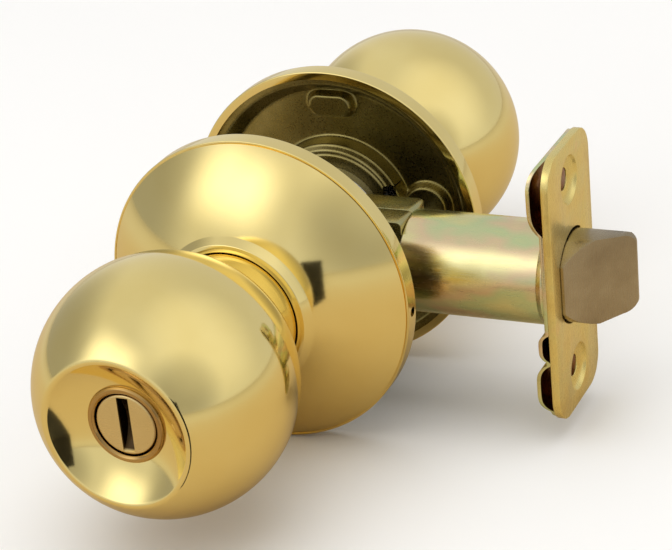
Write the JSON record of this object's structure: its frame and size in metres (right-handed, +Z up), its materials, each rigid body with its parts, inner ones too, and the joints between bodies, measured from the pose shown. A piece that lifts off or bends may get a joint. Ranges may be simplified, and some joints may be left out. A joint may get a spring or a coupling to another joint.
{
  "type": "door knob",
  "caption": "Ball privacy knob set with round rosettes, a slotted front button, a rear thumb turn and a spring latch with a bevelled bolt, for an interior door.",
  "frame": {"origin": "where the spindle axis crosses the latch axis, in the middle of the door's thickness", "axes": "+Y along the spindle to the rear knob with the thumb turn, so the slotted front knob is at -Y; +X along the latch towards the bolt's tip; +Z up"},
  "size_m": [0.1051, 0.166, 0.066],
  "materials": {
    "polished_brass": "polished",
    "satin_brass": "satin",
    "yellow_chromate": "satin, thin iridescent plating",
    "olive_chromate": "satin, dark yellow-green plating",
    "cast_zinc": "satin, cast and machined",
    "plated_steel": "satin",
    "bright_steel": "bright"
  },
  "bodies": {
    "trim": {"front_rosette": "polished_brass", "front_mounting_plate": "olive_chromate", "front_hub": "plated_steel", "front_return_spring": "bright_steel", "rear_rosette": "polished_brass", "rear_mounting_plate": "olive_chromate", "rear_hub": "plated_steel", "rear_return_spring": "bright_steel", "mounting_posts": "plated_steel", "mounting_screws": "bright_steel", "latch_barrel": "yellow_chromate", "barrel_collar": "yellow_chromate", "latch_case_front": "yellow_chromate", "latch_case_rear": "yellow_chromate", "bolt_spring": "bright_steel", "spring_seat": "plated_steel", "backplate": "yellow_chromate", "faceplate": "satin_brass"},
    "knobs": {"front_knob": "polished_brass", "front_neck": "polished_brass", "front_knob_core": "plated_steel", "front_bezel": "polished_brass", "front_shank": "plated_steel", "front_spring_driver": "plated_steel", "front_retaining_ring": "plated_steel", "rear_knob": "polished_brass", "rear_neck": "polished_brass", "rear_knob_core": "plated_steel", "rear_bezel": "polished_brass", "rear_shank": "plated_steel", "rear_spring_driver": "plated_steel", "rear_retaining_ring": "plated_steel", "spindle": "plated_steel", "latch_cam": "plated_steel"},
    "retractor": {"retractor": "plated_steel"},
    "bolt": {"latch_bolt": "cast_zinc", "bolt_tail": "plated_steel"},
    "turn_bar": {"front_button": "polished_brass", "privacy_rod": "plated_steel", "rear_turn_button": "polished_brass"},
    "locking_dog": {"locking_dog": "plated_steel"}
  },
  "joints": [
    {"name": "knob_turn", "type": "hinge", "parent": "trim", "child": "knobs", "pos_m": [0, 0, 0], "axis": [0, 1, 0], "range_deg": [0, 80], "stiffness_Nm_per_rad": 0.28, "springref_deg": -11.46, "deforming": ["front_return_spring", "rear_return_spring"]},
    {"name": "retract", "type": "slide", "parent": "trim", "child": "retractor", "axis": [1, 0, 0], "range_m": [-0.0119, 0], "deforming": ["bolt_spring"]},
    {"name": "bolt_push", "type": "slide", "parent": "retractor", "child": "bolt", "axis": [1, 0, 0], "range_m": [-0.0118, 0], "stiffness_N_per_m": 400, "springref_m": 0.01},
    {"name": "button_turn", "type": "hinge", "parent": "knobs", "child": "turn_bar", "pos_m": [0, 0, 0], "axis": [0, 1, 0], "range_deg": [0, 90]},
    {"name": "dog_slide", "type": "slide", "parent": "knobs", "child": "locking_dog", "axis": [1, 0, 0], "range_m": [0, 0.0021]}
  ],
  "couplings": [
    {"joint": "retract", "follows": "knob_turn", "m_per_rad": -0.008451},
    {"joint": "dog_slide", "follows": "button_turn", "m_per_rad": 0.001273}
  ]
}
